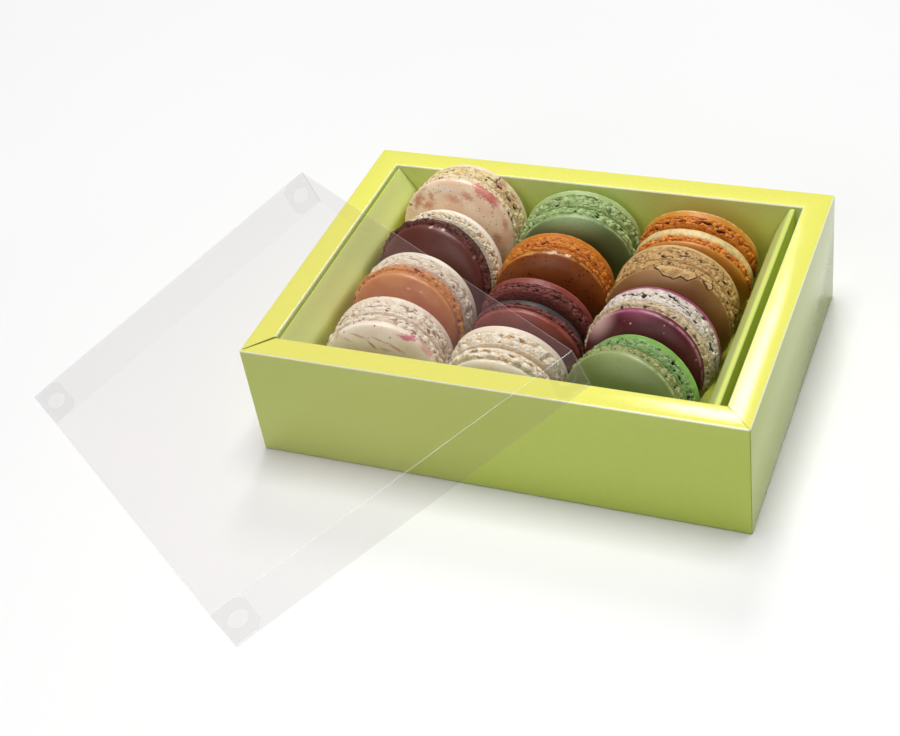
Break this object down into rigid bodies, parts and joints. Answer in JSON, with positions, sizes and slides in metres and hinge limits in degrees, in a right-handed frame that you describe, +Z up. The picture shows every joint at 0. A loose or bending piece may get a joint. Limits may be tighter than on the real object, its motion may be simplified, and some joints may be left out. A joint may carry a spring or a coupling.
{
  "type": "macaron box",
  "caption": "Open lime card box with macarons standing on edge in rows between card flaps, and its clear film lid leaning on a front corner",
  "frame": {"origin": "middle of the box's underside, on the surface it stands on", "axes": "+Z up, X along the box's long side, front of the box towards -Y"},
  "size_m": [0.2858, 0.2623, 0.0851],
  "materials": {
    "box_card": "lime card with a glossy coat",
    "liner_card": "lime card, satin",
    "lid_film": "clear thin film, glossy",
    "speckled_rose_shell": "baked almond meringue, beige with rose blotches",
    "chocolate_shell": "baked almond meringue, dark brown",
    "caramel_shell": "baked almond meringue, caramel",
    "streaked_cream_shell": "baked almond meringue, cream with pink streaks",
    "ivory_shell": "baked almond meringue, ivory",
    "green_shell": "baked almond meringue, pistachio green",
    "orange_shell": "baked almond meringue, orange",
    "cocoa_shell": "baked almond meringue, dark red brown",
    "coffee_shell": "baked almond meringue, coffee",
    "magenta_shell": "baked almond meringue, magenta",
    "cream_filling": "butter cream",
    "dark_filling": "dark chocolate cream, satin",
    "caramel_filling": "caramel cream",
    "rose_filling": "rose cream",
    "green_filling": "pistachio cream",
    "coffee_filling": "coffee cream"
  },
  "bodies": {
    "root": {"box": "box_card", "liner": "liner_card", "lid": "lid_film", "left_1_speckled_rose_front_shell": "speckled_rose_shell", "left_1_speckled_rose_filling": "cream_filling", "left_1_speckled_rose_back_shell": "speckled_rose_shell", "left_2_chocolate_cream_front_shell": "chocolate_shell", "left_2_chocolate_cream_filling": "dark_filling", "left_2_chocolate_cream_back_shell": "ivory_shell", "left_3_caramel_cream_front_shell": "caramel_shell", "left_3_caramel_cream_filling": "caramel_filling", "left_3_caramel_cream_back_shell": "ivory_shell", "left_4_streaked_cream_front_shell": "streaked_cream_shell", "left_4_streaked_cream_filling": "rose_filling", "left_4_streaked_cream_back_shell": "streaked_cream_shell", "middle_1_green_front_shell": "green_shell", "middle_1_green_filling": "green_filling", "middle_1_green_back_shell": "green_shell", "middle_2_orange_front_shell": "orange_shell", "middle_2_orange_filling": "caramel_filling", "middle_2_orange_back_shell": "orange_shell", "middle_3_cocoa_front_shell": "cocoa_shell", "middle_3_cocoa_filling": "dark_filling", "middle_3_cocoa_back_shell": "cocoa_shell", "middle_4_ivory_front_shell": "ivory_shell", "middle_4_ivory_filling": "cream_filling", "middle_4_ivory_back_shell": "ivory_shell", "right_1_orange_cream_front_shell": "orange_shell", "right_1_orange_cream_filling": "cream_filling", "right_1_orange_cream_back_shell": "orange_shell", "right_2_coffee_front_shell": "coffee_shell", "right_2_coffee_filling": "coffee_filling", "right_2_coffee_back_shell": "coffee_shell", "right_3_magenta_front_shell": "magenta_shell", "right_3_magenta_filling": "rose_filling", "right_3_magenta_back_shell": "ivory_shell", "right_4_pistachio_front_shell": "green_shell", "right_4_pistachio_filling": "green_filling", "right_4_pistachio_back_shell": "green_shell"}
  },
  "joints": []
}
